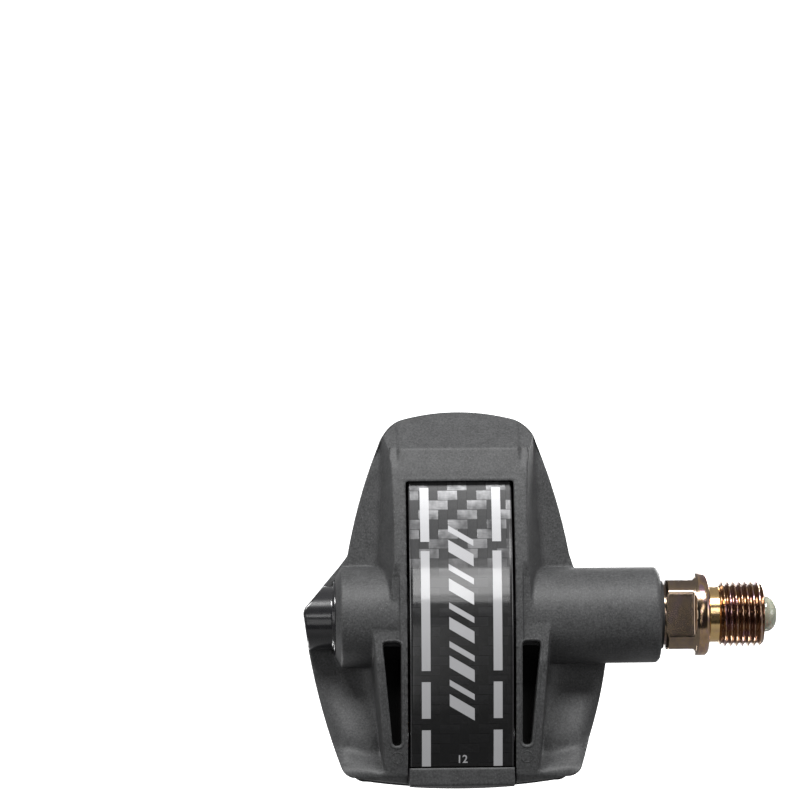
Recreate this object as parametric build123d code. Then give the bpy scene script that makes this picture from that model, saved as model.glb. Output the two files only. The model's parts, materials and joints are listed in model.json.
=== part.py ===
from build123d import *
import os
from math import cos, radians, sin

# A right-hand road pedal with a leaf-sprung rear jaw.
# Frame: the origin is the centre of the spindle flange's crank-side face. +X runs out along the
# spindle, away from the crank, +Y points to the nose and +Z to the shoe. Millimetres.

# Driving dimensions
CENTRE_X = 54.0                 # crank face to the middle of the pedal
THREAD_R, PITCH = 7.14, 1.27    # 9/16 in x 20 TPI
THREAD_END, THREAD_START = -12.1, -2.35
THREAD_ROOT_R = THREAD_R - 0.6 * PITCH
NECK_R = 6.1
FLANGE_R, FLANGE_T = 9.0, 2.9
FLATS_ACROSS, FLATS_END = 15.0, 9.4
SEAL_LAND_R, JOURNAL_R, SHAFT_R, SEAT_R, NUT_THREAD_R = 6.6, 6.0, 5.2, 4.0, 3.5
RUN = 0.03                      # radial clearance of parts that turn on each other

TUBE_START, TUBE_R = 10.5, 10.43
HOUSING_END, HOUSING_R = 81.5, 10.9
NEEDLE_BORE_R, MID_BORE_R, BALL_BORE_R = 8.4, 7.0, 8.0
NEEDLE_END, BALL_START = 29.5, 65.5

DECK_Z, PLATE_SEAT_Z, PLATE_T = 9.0, 10.2, 1.0
BOTTOM_Z = -14.0
HOOK_UNDER_Z, HOOK_TOP_Z = 13.4, 16.4
WINDOW_HALF, WINDOW_FRONT = 11.7, 29.3
CORE_R = 9.2                    # housing under the leaf

PIN_Y, PIN_Z, PIN_R, PIN_HALF = -25.5, 0.5, 2.0, 16.0
BODY_TAIL_R, JAW_TAIL_R = 8.7, 9.0    # body and jaw face each other on circles about the pin
STEP_ANGLE = 196.0              # where the body steps out under the jaw, leaving its 14 degree travel
JAW_HALF, JAW_CORE_HALF = 24.0, 11.4

LEAF_HALF, LEAF_T = 11.15, 2.2
LEAF_FRONT, LEAF_REAR = 32.6, -32.3
CAP_R = 6.9


def revolved(*outline):
    """Turn an outline of (x, r) points about the spindle axis."""
    return revolve(make_face(Polyline(*outline, close=True)), Axis.X)


def rod(x0, x1, r, inner=0.0, y=0.0, z=0.0):
    """A round bar or ring along X."""
    bar = Cylinder(r, x1 - x0)
    if inner:
        bar -= Cylinder(inner, x1 - x0)
    return Pos((x0 + x1) / 2, y, z) * Rot(0, 90, 0) * bar


def block(x0, x1, y0, y1, z0, z1):
    return Pos((x0 + x1) / 2, (y0 + y1) / 2, (z0 + z1) / 2) * Box(x1 - x0, y1 - y0, z1 - z0)


def across(half, sketch):
    """A side outline, drawn in (y, z), made into a solid centred across the pedal."""
    return extrude(Plane.YZ.offset(CENTRE_X - half) * sketch, 2 * half)


def upright(z0, z1, sketch):
    """A plan outline, drawn about the pedal's middle, made into a solid from z0 up to z1."""
    return extrude(Plane.XY.offset(z0) * Pos(CENTRE_X, 0) * sketch, z1 - z0)


# Shared outlines

def plan_outline():
    """Plan of the body: nose arc, shoulders, flanks, and the wings behind the spindle."""
    nose = ThreePointArc((-12.6, 43.0), (0, 44.8), (12.6, 43.0))
    right = [
        ThreePointArc((12.6, 43.0), (15.6, 40.7), (17.1, 37.8)),
        ThreePointArc((17.1, 37.8), (21.4, 25.5), (24.2, 13.5)),
        Line((24.2, 13.5), (26.2, 10.9)),
        Line((26.2, 10.9), (33.6, 2.3)),
        ThreePointArc((33.6, 2.3), (34.0, 1.2), (33.9, 0.0)),
        ThreePointArc((33.9, 0.0), (30.8, -17.0), (26.1, -32.4)),
        ThreePointArc((26.1, -32.4), (25.1, -33.9), (22.8, -34.7)),
    ]
    left = [
        ThreePointArc((-12.6, 43.0), (-15.6, 40.7), (-17.1, 37.8)),
        ThreePointArc((-17.1, 37.8), (-21.4, 25.5), (-24.2, 13.5)),
        Line((-24.2, 13.5), (-32.0, -10.5)),
        ThreePointArc((-32.0, -10.5), (-29.6, -22.0), (-26.1, -32.4)),
        ThreePointArc((-26.1, -32.4), (-25.1, -33.9), (-22.8, -34.7)),
    ]
    tail = ThreePointArc((22.8, -34.7), (0, -36.6), (-22.8, -34.7))
    return make_face([nose, *right, *left, tail])


def belly_line():
    """Underside of the body from the tail to the crease below the nose."""
    return Spline((-34.4, -6.2), (-14.0, -10.6), (3.0, -11.7), (18.0, -10.2), (36.5, -5.6))


def about_pin(r, angle):
    """A side point (y, z) at a radius and angle about the jaw pin."""
    return (PIN_Y + r * cos(radians(angle)), PIN_Z + r * sin(radians(angle)))


def body_side():
    """Side outline of the body: tail stepped round the jaw, belly, sloped nose."""
    tail = ThreePointArc(about_pin(BODY_TAIL_R, 90), about_pin(BODY_TAIL_R, 150), about_pin(BODY_TAIL_R, STEP_ANGLE))
    lip = Polyline(about_pin(BODY_TAIL_R, STEP_ANGLE), about_pin(12.0, STEP_ANGLE), (-37.0, -3.8), (-34.4, -6.2))
    top = 20.0
    nose = Polyline((36.5, -5.6), (44.9, 5.0), (44.9, 13.0), (43.4, top), (PIN_Y, top),
                    about_pin(BODY_TAIL_R, 90))
    return make_face([tail, lip, belly_line(), nose])


def leaf_side():
    """Side outline of the leaf spring, bowed round the housing."""
    bow = [(LEAF_REAR, -6.7), (-16.0, -10.4), (3.0, -12.1), (18.0, -10.4), (LEAF_FRONT, -6.1)]
    inner = [(y, z + LEAF_T) for y, z in bow]
    return make_face([Spline(*bow), Line(bow[-1], inner[-1]), Spline(*inner), Line(inner[0], bow[0])])


# Spindle and what is inside it

def spindle():
    crests = int((THREAD_START - THREAD_END) / PITCH)
    flat = 0.16                 # half width of each flat crest
    outline = [(THREAD_END, 0), (THREAD_END, THREAD_ROOT_R)]
    for turn in range(crests):
        crest_x = THREAD_END + PITCH * (turn + 0.72)
        outline += [(crest_x - 0.5, THREAD_ROOT_R), (crest_x - flat, THREAD_R),
                    (crest_x + flat, THREAD_R), (crest_x + 0.5, THREAD_ROOT_R)]
    outline += [(THREAD_START, THREAD_ROOT_R), (THREAD_START, NECK_R), (0, NECK_R),
                (0, FLANGE_R - 0.5), (0.5, FLANGE_R), (FLANGE_T - 0.3, FLANGE_R), (FLANGE_T, FLANGE_R - 0.3),
                (FLANGE_T, FLANGE_R - 0.05), (FLATS_END - 0.4, FLANGE_R - 0.05), (FLATS_END, FLANGE_R - 0.6),
                (FLATS_END, SEAL_LAND_R), (15.6, SEAL_LAND_R), (15.6, JOURNAL_R), (32, JOURNAL_R),
                (38, SHAFT_R), (BALL_START - 0.2, SHAFT_R), (BALL_START - 0.2, SEAT_R),
                (75.6, SEAT_R), (75.6, NUT_THREAD_R), (79.8, NUT_THREAD_R), (80.2, NUT_THREAD_R - 0.4), (80.2, 0)]
    steel = revolved(*outline)
    for turn in range(4):
        flat_cut = block(FLANGE_T, FLATS_END + 0.01, FLATS_ACROSS / 2, 12, -12, 12)
        steel -= Rot(90 * turn, 0, 0) * flat_cut
    steel -= rod(THREAD_END, -7.5, 4.0)
    steel -= rod(-7.5, 52.0, 3.2)
    return steel


def end_window():
    profile = make_face([
        Polyline((-13.8, 4.0), (-7.6, 4.0), (-7.6, 0), (-15.2, 0), (-15.2, 2.2)),
        ThreePointArc((-15.2, 2.2), (-14.75, 3.45), (-13.8, 4.0)),
    ])
    return revolve(profile, Axis.X) - ring(-9.6, 3.7, 0.45)


def ring(x, r, section_r):
    """An O-ring on the spindle axis."""
    return Pos(x, 0, 0) * Rot(0, 90, 0) * Torus(r, section_r)


def circuit_board():
    board = block(-6.0, 18.0, -2.6, 2.6, -0.4, 0.4)
    chips = [block(x, x + 3.0, -1.4, 1.4, 0.4, 1.3) for x in (-4.0, 1.0, 6.5, 12.0)]
    return board + chips


def battery_cell():
    return rod(20.0, 49.0, 2.9) + rod(49.0, 49.6, 1.2)


# Bearings

def needle_angles():
    count = 18
    return [360 / count * i for i in range(count)]


def needle_rollers(r=0.77, grow=0.0):
    pitch_r = (JOURNAL_R + 7.6) / 2
    return [Rot(angle, 0, 0) * rod(18.2 - grow, 28.2 + grow, r + grow, y=pitch_r) for angle in needle_angles()]


def needle_cage():
    cage = rod(17.6, 28.8, 7.32, 6.4)
    for pocket in needle_rollers(grow=0.06):
        cage -= pocket
    return cage


def ball_seats():
    """Start of each of the two ball bearings."""
    width, gap = 5.0, 0.2
    return [BALL_START, BALL_START + width + gap]


def race(x, outer, inner):
    return rod(x, x + 5.0, outer, inner) - ring(x + 2.5, 6.0, 1.25)


def ball_set(x, r):
    count = 9
    return [Rot(360 / count * i, 0, 0) * Pos(x + 2.5, 6.0, 0) * Sphere(r) for i in range(count)]


def ball_cage(x):
    cage = rod(x + 1.2, x + 3.8, 6.4, 5.6)
    for pocket in ball_set(x, 1.24):
        cage -= pocket
    return cage


def lock_nut():
    outline = Rot(0, 90, 0) * extrude(RegularPolygon(6.35, 6), 3.2)
    return Pos(76.5, 0, 0) * outline - rod(76.4, 79.8, NUT_THREAD_R)


# Body

def scoop(side, rail_front, rail_rear, y_front, y_rear, wall):
    """The hollow beside a rail: a steep wall next to the rail, then the shallow underside of the wing."""
    section = make_face([Polyline((22, 3.6), (22, -20), (0, -20), (0, -12), wall[0]),
                         ThreePointArc(*wall), Polyline(wall[-1], (22, 3.6))])
    front, rear = (side * rail_front, y_front), (side * rail_rear, y_rear)
    run = Vector(front[0] - rear[0], front[1] - rear[1], 0)
    middle = (CENTRE_X + (front[0] + rear[0]) / 2, (front[1] + rear[1]) / 2, 0)
    plane = Plane(middle, x_dir=run.cross(Vector(0, 0, 1)) * side, z_dir=run * -side)
    return extrude(plane * section, run.length / 2, both=True)


def scoop_end(side):
    """Everything in front of the slanted bank where a rear hollow runs out."""
    ridge = Vector(side * 11.0, 3.7, 3.5)
    rise = Vector(0, 0.6, 0.8)
    into = ridge.cross(rise) * side
    bank = Plane((CENTRE_X + side * 20.5, -32.2, -4.9), x_dir=ridge, z_dir=into)
    return bank * Pos(0, 0, -40) * Box(120, 120, 80)


def rail_relief(side):
    """Where the outer half of a rail sinks to the level of the spindle housing."""
    profile = make_face(Polyline((12.0, -20), (12.0, -11.2), (8.5, -10.4), (-2.0, -10.4), (-10.0, -11.2),
                                 (-10.0, -20), close=True))
    return extrude(Plane.YZ.offset(CENTRE_X + side * 13.3) * profile, side * 7.0)


def slot_sketch(side):
    """Plan of the tapered slot beside the window."""
    points = [(side * x, y) for x, y in ((13.1, -5.4), (17.1, -5.4), (15.0, -27.7), (13.1, -27.7))]
    slot = make_face(Polyline(*points, close=True))
    return fillet(slot.vertices(), 0.7)


def hook_block():
    """The raised nose that holds the front of the cleat, with the slot under its lip."""
    nose = upright(DECK_Z - 2, HOOK_TOP_Z, plan_outline()) & block(0, 110, 19, 50, 0, 20)
    pocket = make_face([Polyline((-11, 38.2), (-17.5, 28), (-19.5, 10), (19.5, 10), (17.5, 28), (11, 38.2)),
                        ThreePointArc((11, 38.2), (0, 40.9), (-11, 38.2))])
    mouth = make_face([Polyline((-8, 34.6), (-15.5, 30), (-19.5, 10), (19.5, 10), (15.5, 30), (8, 34.6)),
                       ThreePointArc((8, 34.6), (0, 36.0), (-8, 34.6))])
    nose -= upright(DECK_Z, HOOK_UNDER_Z, pocket)
    nose -= upright(HOOK_UNDER_Z - 0.1, HOOK_TOP_Z + 1, mouth)
    ramp = make_face(Polyline((19, DECK_Z), (37.5, HOOK_TOP_Z), (37.5, 20), (19, 20), close=True))
    return nose - across(40, ramp)


def pedal_body():
    shell = upright(BOTTOM_Z, DECK_Z, plan_outline()) & across(45, body_side())
    for side in (-1, 1):
        shell -= scoop(side, 12.2, 14.8, 46.0, -2.0, ((3.4, -2.5), (4.4, -0.6), (6.2, 0.4)))
        shell -= scoop(side, 19.4, 15.6, 2.0, -40.0, ((0.8, -2.5), (1.8, -0.2), (4.0, 1.0))) & scoop_end(side)
        shell -= rail_relief(side)
    hook = hook_block() & across(45, body_side())
    seat = upright(DECK_Z - 2, PLATE_SEAT_Z, plan_outline()) & block(0, 110, -10.2, 10.6, 0, 20)
    tube = rod(TUBE_START, 56, TUBE_R)
    tube += revolved((56, 0), (56, HOUSING_R), (79.8, HOUSING_R), (HOUSING_END, 7.6), (HOUSING_END, 0))
    tube -= block(CENTRE_X - 31.5, 100, -12, 12, PLATE_SEAT_Z, 20)
    tube = chamfer(tube.edges().group_by(Axis.X)[0], 0.8)
    shell = shell + hook + seat + tube
    window = block(CENTRE_X - WINDOW_HALF, CENTRE_X + WINDOW_HALF, -37, WINDOW_FRONT, -20, 5.5)
    shell -= window
    shell -= across(LEAF_HALF + 0.15, leaf_pocket())
    shell += rod(CENTRE_X - WINDOW_HALF, CENTRE_X + WINDOW_HALF, CORE_R)
    for side in (-1, 1):
        slot = upright(-20, -2.2, slot_sketch(side))
        shell -= slot - rod(0, 110, 9.7)
    shell -= rod(TUBE_START - 1, NEEDLE_END, NEEDLE_BORE_R)
    shell -= rod(NEEDLE_END, BALL_START, MID_BORE_R)
    shell -= rod(BALL_START, HOUSING_END, BALL_BORE_R)
    shell -= rod(HOUSING_END, 100, CAP_R + 0.02)
    shell -= rod(CENTRE_X - PIN_HALF, CENTRE_X + PIN_HALF, PIN_R, y=PIN_Y, z=PIN_Z)
    for x, y in screw_places():
        shell -= Pos(x, y, PLATE_SEAT_Z - 2) * Cylinder(1.25, 4.0)
    return shell


def leaf_pocket():
    """Side outline of the pocket that holds the front end of the leaf."""
    front = LEAF_FRONT + 0.1
    return make_face(Polyline((28.0, -7.9), (front, -6.2), (front, -3.2), (28.0, -3.2), close=True))


def wear_plate():
    plate = upright(PLATE_SEAT_Z, PLATE_SEAT_Z + PLATE_T, Pos(0, 0.2) * RectangleRounded(57, 19.4, 3))
    for x, y in screw_places():
        plate -= Pos(x, y, PLATE_SEAT_Z + PLATE_T / 2) * Cylinder(1.25, PLATE_T + 0.2)
        plate -= Pos(x, y, PLATE_SEAT_Z + PLATE_T) * countersunk_head()
    return plate


def countersunk_head():
    """Head whose top is flush with z = 0."""
    return Pos(0, 0, -0.45) * Cone(1.25, 2.3, 0.9)


def screw_places():
    return [(CENTRE_X + x, y) for x in (-25.0, 25.0) for y in (-7.3, 7.7)]


def wear_plate_screws():
    screws = []
    for x, y in screw_places():
        shank = Pos(x, y, PLATE_SEAT_Z - 1.95) * Cylinder(1.25, 3.9)
        neck = Pos(x, y, PLATE_SEAT_Z + 0.1) * Cylinder(1.25, 0.4)
        drive = Pos(x, y, PLATE_SEAT_Z + PLATE_T) * extrude(RegularPolygon(0.95, 6), -0.7)
        screws.append(shank + neck + Pos(x, y, PLATE_SEAT_Z + PLATE_T) * countersunk_head() - drive)
    return screws


# Jaw, leaf and small parts

def jaw_plan():
    tail = ThreePointArc((-20.5, -35.7), (0, -37.2), (20.5, -35.7))
    corners = [ThreePointArc((side * 20.5, -35.7), (side * 23.0, -34.9), (side * JAW_HALF, -32.6))
               for side in (-1, 1)]
    front = Polyline((JAW_HALF, -32.6), (JAW_HALF, -20), (-JAW_HALF, -20), (-JAW_HALF, -32.6))
    return make_face([tail, *corners, front])


def rear_jaw():
    wall = make_face(Polyline((-26.8, 13.6), (-27.6, 16.0), (-29.5, 16.6), (-35.2, 16.6), (-37.4, 13.6),
                              (-37.4, PIN_Z), (-31.2, PIN_Z), (-31.2, 13.6), close=True))
    wide = across(JAW_HALF, wall) - rod(0, 110, JAW_TAIL_R, y=PIN_Y, z=PIN_Z)
    toe = make_face(Polyline((-30.5, 5.0), (-33.2, 5.0), (-34.4, 6.6), (-37.4, 6.6), (-37.4, -4.6),
                             (-36.4, -6.4), (-32.6, -7.0), (-32.6, -4.4), (-29.0, -4.6), (-25.5, -2.9),
                             (-25.5, 3.9), close=True))
    core = across(JAW_CORE_HALF, toe)
    core += rod(CENTRE_X - JAW_CORE_HALF, CENTRE_X + JAW_CORE_HALF, 3.4, y=PIN_Y, z=PIN_Z)
    core -= block(CENTRE_X - 5, CENTRE_X + 5, -29.3, -20, -4, 5)
    jaw = (wide + core) & upright(-10, 20, jaw_plan())
    return jaw - rod(0, 110, 2.8, y=PIN_Y, z=PIN_Z)


def jaw_bushes():
    length = JAW_CORE_HALF - 5
    return [rod(CENTRE_X + start, CENTRE_X + start + length, 2.8, PIN_R + RUN, y=PIN_Y, z=PIN_Z)
            for start in (-JAW_CORE_HALF, 5)]


def end_cap():
    plug = revolved((78.6, 7.0), (80.6, 7.0), (80.6, 0), (95, 0), (95, CAP_R),
                    (HOUSING_END, CAP_R), (HOUSING_END, BALL_BORE_R), (78.6, BALL_BORE_R))
    plug -= ring(80.0, 7.65, 0.45)
    return plug & upright(-12, 12, plan_outline())


def leaf_blade():
    return across(LEAF_HALF, leaf_side())


def blade_pad():
    """Thin pad between the front end of the leaf and the roof of its pocket."""
    return across(9.0, make_face(Polyline((29.4, -3.9), (32.2, -3.8), (32.2, -3.2), (29.4, -3.2), close=True)))


NODES = {
    "spindle": spindle(),
    "end_window": end_window(),
    "window_o_ring": ring(-9.6, 3.7, 0.45) & rod(-11, -8, 4.0),
    "circuit_board": circuit_board(),
    "battery_cell": battery_cell(),
    "lip_seal": revolved((9.7, SEAL_LAND_R + RUN), (9.7, 7.2), (9.9, 7.4), (10.5, 7.4), (10.5, NEEDLE_BORE_R),
                         (14.6, NEEDLE_BORE_R), (14.6, SEAL_LAND_R + RUN)),
    "thrust_washer": rod(15.9, 16.7, NEEDLE_BORE_R, JOURNAL_R + RUN),
    "needle_shell": rod(17.0, 29.0, NEEDLE_BORE_R, 7.6),
    "needle_cage": needle_cage(),
    "needle_rollers": needle_rollers(),
    "ball_outer_rings": [race(x, BALL_BORE_R, 6.7) for x in ball_seats()],
    "ball_inner_rings": [race(x, 5.3, SEAT_R) for x in ball_seats()],
    "bearing_balls": [ball for x in ball_seats() for ball in ball_set(x, 1.19)],
    "ball_cages": [ball_cage(x) for x in ball_seats()],
    "nut_washer": rod(75.7, 76.5, 5.4, NUT_THREAD_R),
    "lock_nut": lock_nut(),
    "pedal_body": pedal_body(),
    "wear_plate": wear_plate(),
    "wear_plate_screws": wear_plate_screws(),
    "end_cap": end_cap(),
    "cap_o_ring": ring(80.0, 7.65, 0.45) & rod(79, 81, BALL_BORE_R),
    "jaw_pin": rod(CENTRE_X - PIN_HALF, CENTRE_X + PIN_HALF, PIN_R, y=PIN_Y, z=PIN_Z),
    "leaf_blade": leaf_blade(),
    "blade_pad": blade_pad(),
    "rear_jaw": rear_jaw(),
    "jaw_bushes": jaw_bushes(),
}

os.makedirs("parts", exist_ok=True)
for name, solid in NODES.items():
    if isinstance(solid, list):
        solid = Compound(children=solid)
    export_step(solid, f"parts/{name}.step")
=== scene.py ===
import json
from math import cos, pi, radians, sin, sqrt

import bmesh
import bpy
import numpy as np
from bpy.props import FloatProperty, FloatVectorProperty, IntProperty, PointerProperty
from mathutils import Matrix, Vector
from mathutils.bvhtree import BVHTree

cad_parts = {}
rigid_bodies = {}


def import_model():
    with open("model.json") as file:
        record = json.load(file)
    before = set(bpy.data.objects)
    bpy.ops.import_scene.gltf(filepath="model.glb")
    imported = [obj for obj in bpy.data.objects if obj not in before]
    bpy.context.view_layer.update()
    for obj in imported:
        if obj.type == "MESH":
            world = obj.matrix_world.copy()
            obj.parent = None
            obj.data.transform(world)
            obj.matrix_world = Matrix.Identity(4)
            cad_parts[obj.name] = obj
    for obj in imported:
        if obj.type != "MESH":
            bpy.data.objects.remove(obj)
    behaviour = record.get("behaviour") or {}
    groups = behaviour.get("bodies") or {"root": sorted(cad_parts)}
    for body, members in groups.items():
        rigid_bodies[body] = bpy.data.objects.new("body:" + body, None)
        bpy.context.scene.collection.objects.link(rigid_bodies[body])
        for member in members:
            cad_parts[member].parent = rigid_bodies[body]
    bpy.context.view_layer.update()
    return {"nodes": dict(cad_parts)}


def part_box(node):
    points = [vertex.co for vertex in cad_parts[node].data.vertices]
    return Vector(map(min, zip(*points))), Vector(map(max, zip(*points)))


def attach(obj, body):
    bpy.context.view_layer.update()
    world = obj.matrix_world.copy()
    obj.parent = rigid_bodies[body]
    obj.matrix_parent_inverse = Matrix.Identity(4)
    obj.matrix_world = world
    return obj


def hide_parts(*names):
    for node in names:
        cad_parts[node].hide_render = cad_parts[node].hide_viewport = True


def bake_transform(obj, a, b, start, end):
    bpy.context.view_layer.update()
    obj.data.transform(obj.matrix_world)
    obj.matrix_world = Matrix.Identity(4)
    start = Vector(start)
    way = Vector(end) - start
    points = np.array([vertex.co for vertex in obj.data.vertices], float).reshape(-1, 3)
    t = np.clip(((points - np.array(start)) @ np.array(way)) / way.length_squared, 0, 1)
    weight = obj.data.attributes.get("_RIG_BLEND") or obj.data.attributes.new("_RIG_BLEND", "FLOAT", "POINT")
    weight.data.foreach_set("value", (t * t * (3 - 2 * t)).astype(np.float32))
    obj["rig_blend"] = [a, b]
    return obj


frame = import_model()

bl_info = {
    "name": "Road Pedal",
    "version": (1, 0, 0),
    "blender": (4, 5, 0),
    "location": "View3D > Sidebar > Pedal",
    "description": "Finishes a road pedal: composite shell, carbon leaf, coated spindle and small parts",
    "category": "Object",
}

# The frame: metres, +X out along the spindle, +Y to the nose, +Z to the shoe.

MM = 0.001
SPINDLE_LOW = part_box("spindle")[0]
WINDOW_LOW, WINDOW_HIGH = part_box("end_window")
SEAL_LOW, SEAL_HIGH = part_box("lip_seal")
LEAF_LOW, LEAF_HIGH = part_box("leaf_blade")
PLATE_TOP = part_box("wear_plate")[1].z
PIN_LOW, PIN_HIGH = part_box("jaw_pin")
CENTRE_X = (LEAF_LOW.x + LEAF_HIGH.x) / 2
THREAD_END = SPINDLE_LOW.x
THREAD_NECK = -2.3 * MM
CREST_R = 7.14 * MM
FLANGE_END = 2.3 * MM
NOSE_WELL = 0.9 * MM
LEAF_MOUTH = 27.95 * MM
MOUTH_DIP = 0.9 * MM
INK_PROUD, INK_SUNK = 0.025 * MM, 0.06 * MM
PIN_CENTRE = (PIN_LOW + PIN_HIGH) / 2
LEAF_BEND_START = Vector((CENTRE_X, PIN_CENTRE.y + 2.0 * MM, LEAF_HIGH.z))
LEAF_BEND_END = Vector((CENTRE_X, LEAF_LOW.y, LEAF_HIGH.z))


class PedalSettings(bpy.types.PropertyGroup):
    voxel: FloatProperty(
        name="Shell voxel", description="Grid size of the moulded shell", default=0.3 * MM, unit="LENGTH")
    rounding: IntProperty(
        name="Edge rounding", description="Smoothing passes on moulded edges", default=3, min=0, max=20)
    pitch: FloatProperty(
        name="Thread pitch", description="Advance of the crank thread in one turn", default=1.27 * MM, unit="LENGTH")
    stripe_width: FloatProperty(
        name="Stripe width", description="Width of the printed stripes", default=1.92 * MM, unit="LENGTH")
    stripe_offset: FloatProperty(
        name="Stripe offset", description="Stripe centre from the leaf's middle", default=7.75 * MM, unit="LENGTH")
    tow: FloatProperty(
        name="Tow width", description="Width of one carbon tow in the weave", default=2.1 * MM, unit="LENGTH")
    shell_dark: FloatVectorProperty(
        name="Shell dark", description="Darker tone of the composite", subtype="COLOR",
        default=(0.020, 0.0203, 0.0206))
    shell_light: FloatVectorProperty(
        name="Shell light", description="Lighter tone of the composite", subtype="COLOR",
        default=(0.052, 0.0525, 0.0535))
    print_silver: FloatVectorProperty(
        name="Print", description="Silver ink on the leaf", subtype="COLOR", default=(0.37, 0.37, 0.38))
    bronze: FloatVectorProperty(
        name="Coating", description="Main tone of the spindle's coating", subtype="COLOR",
        default=(0.30, 0.195, 0.155))
    key_power: FloatProperty(
        name="Key power", description="Power of the main softbox", default=14.0, unit="POWER")


def settings():
    return bpy.context.scene.pedal


# Shader sums

class Val:
    """A shader socket that takes part in Python sums; each sum adds its Math node."""

    def __init__(self, shader, socket):
        self.shader, self.socket = shader, socket

    def _math(self, operation, a, b):
        return self.shader.node("ShaderNodeMath", {"operation": operation}, {0: a, 1: b})

    def __add__(self, other):
        return self._math("ADD", self, other)

    def __radd__(self, other):
        return self._math("ADD", other, self)

    def __sub__(self, other):
        return self._math("SUBTRACT", self, other)

    def __rsub__(self, other):
        return self._math("SUBTRACT", other, self)

    def __mul__(self, other):
        return self._math("MULTIPLY", self, other)

    def __rmul__(self, other):
        return self._math("MULTIPLY", other, self)

    def __truediv__(self, other):
        return self._math("DIVIDE", self, other)

    def __rtruediv__(self, other):
        return self._math("DIVIDE", other, self)

    def __mod__(self, other):
        return self._math("FLOORED_MODULO", self, other)

    def __gt__(self, other):
        return self._math("GREATER_THAN", self, other)

    def __lt__(self, other):
        return self._math("LESS_THAN", self, other)

    def floor(self):
        return self._math("FLOOR", self, 0.0)

    def sine(self):
        return self._math("SINE", self, 0.0)

    def absolute(self):
        return self._math("ABSOLUTE", self, 0.0)

    def power(self, exponent):
        return self._math("POWER", self, exponent)


class Shader:
    """One material and the nodes that feed its Principled shader."""

    def __init__(self, name, **constants):
        self.material = bpy.data.materials.new(name)
        self.material.use_nodes = True
        self.tree = self.material.node_tree
        self.bsdf = self.tree.nodes["Principled BSDF"]
        for key, value in constants.items():
            self.bsdf.inputs[key.replace("_", " ")].default_value = value

    def node(self, kind, values=None, inputs=None, out=0):
        node = self.tree.nodes.new(kind)
        for key, value in (values or {}).items():
            if key == "stops":
                self._stops(node.color_ramp, value)
            else:
                setattr(node, key, value)
        for key, value in (inputs or {}).items():
            self.put(node.inputs[key], value)
        return Val(self, node.outputs[out])

    def _stops(self, ramp, stops):
        while len(ramp.elements) < len(stops):
            ramp.elements.new(1.0)
        for element, (place, colour) in zip(ramp.elements, stops):
            element.position = place
            element.color = (*colour, 1.0)

    def put(self, socket, value):
        if isinstance(value, Val):
            self.tree.links.new(value.socket, socket)
        elif hasattr(value, "__len__") and len(value) == 3 and socket.type == "RGBA":
            socket.default_value = (*value, 1.0)
        else:
            socket.default_value = value

    def feed(self, **links):
        for key, value in links.items():
            self.put(self.bsdf.inputs[key.replace("_", " ")], value)
        return self

    def coords(self):
        return self.node("ShaderNodeTexCoord", out="Object")

    def axes(self, vector):
        return [self.node("ShaderNodeSeparateXYZ", inputs={0: vector}, out=i) for i in range(3)]

    def noise(self, vector, scale, detail=3.0, roughness=0.55):
        return self.node("ShaderNodeTexNoise", inputs={
            "Vector": vector, "Scale": scale, "Detail": detail, "Roughness": roughness}, out="Fac")

    def stretched(self, vector, scale):
        return self.node("ShaderNodeVectorMath", {"operation": "MULTIPLY"}, {0: vector, 1: scale})

    def ramp(self, factor, stops):
        return self.node("ShaderNodeValToRGB", {"stops": stops}, {0: factor}, out="Color")

    def mix(self, factor, a, b):
        return self.node("ShaderNodeMix", {"data_type": "RGBA"}, {0: factor, 6: a, 7: b}, out=2)

    def bump(self, height, strength, distance):
        normal = self.node("ShaderNodeBump", inputs={
            "Strength": strength, "Distance": distance, "Height": height}, out="Normal")
        return self.feed(Normal=normal)


MATERIALS = {}


def material(make):
    """Keep one material for each maker."""
    name = make.__name__

    def once():
        if name not in MATERIALS:
            MATERIALS[name] = make().material
        return MATERIALS[name]
    return once


def turned_steel(name, tone, rough, lines_per_mm=9.0, **constants):
    """Steel with fine turning lines round the spindle axis."""
    sh = Shader(name, Metallic=1.0, **constants)
    pos = sh.coords()
    x = sh.axes(pos)[0]
    lines = (x * (lines_per_mm * 2 * pi / MM) + sh.noise(pos, 900.0) * 5.0).sine() * 0.5 + 0.5
    stain = sh.noise(pos, 340.0, 4.0)
    darker = tuple(channel * 0.82 for channel in tone)
    sh.feed(Base_Color=sh.mix(stain, darker, tone), Roughness=rough + lines * 0.05 + stain * 0.08)
    return sh.bump(lines, 0.25, 0.008 * MM)


@material
def moulded_composite():
    """Carbon-filled nylon: soft blotches, a fine matte grain and a few lighter fibre specks, with painted shade on
    the slots' inner walls.
    """
    s = settings()
    sh = Shader("moulded_composite", Specular_IOR_Level=0.27)
    pos = sh.coords()
    x, y, z = sh.axes(pos)
    blotch = sh.noise(pos, 240.0, 5.0, 0.62)
    grain = sh.noise(pos, 2300.0, 3.0, 0.6)
    fibre = sh.noise(sh.stretched(pos, (1.0, 0.35, 1.0)), 5200.0, 2.0, 0.5)
    tone = blotch * 0.3 + grain * 0.7
    colour = sh.ramp(tone, [(0.36, tuple(s.shell_dark)), (0.66, tuple(s.shell_light))])
    speck = (fibre > 0.66) * 0.35
    colour = sh.mix(speck, colour, (0.11, 0.11, 0.113))
    aside = (x - CENTRE_X).absolute()
    # Painted shade: the slots' inner walls are coloured near black, standing in for the deep shade inside them.
    outer_wall = 17.25 * MM + (y + 5.4 * MM) * 0.094
    slot = (aside > 12.95 * MM) * (aside < outer_wall) * (y < -5.5 * MM) * (y > -27.8 * MM)
    slot = slot * (z > -7.4 * MM) * (z < -2.1 * MM)
    colour = sh.mix(slot, colour, (0.0008, 0.0008, 0.0008))
    sh.feed(Base_Color=colour, Roughness=0.50 + grain * 0.14 - speck * 0.1 + slot * 0.45)
    return sh.bump(grain * 0.7 + fibre * 0.3, 0.5, 0.05 * MM)


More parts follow.
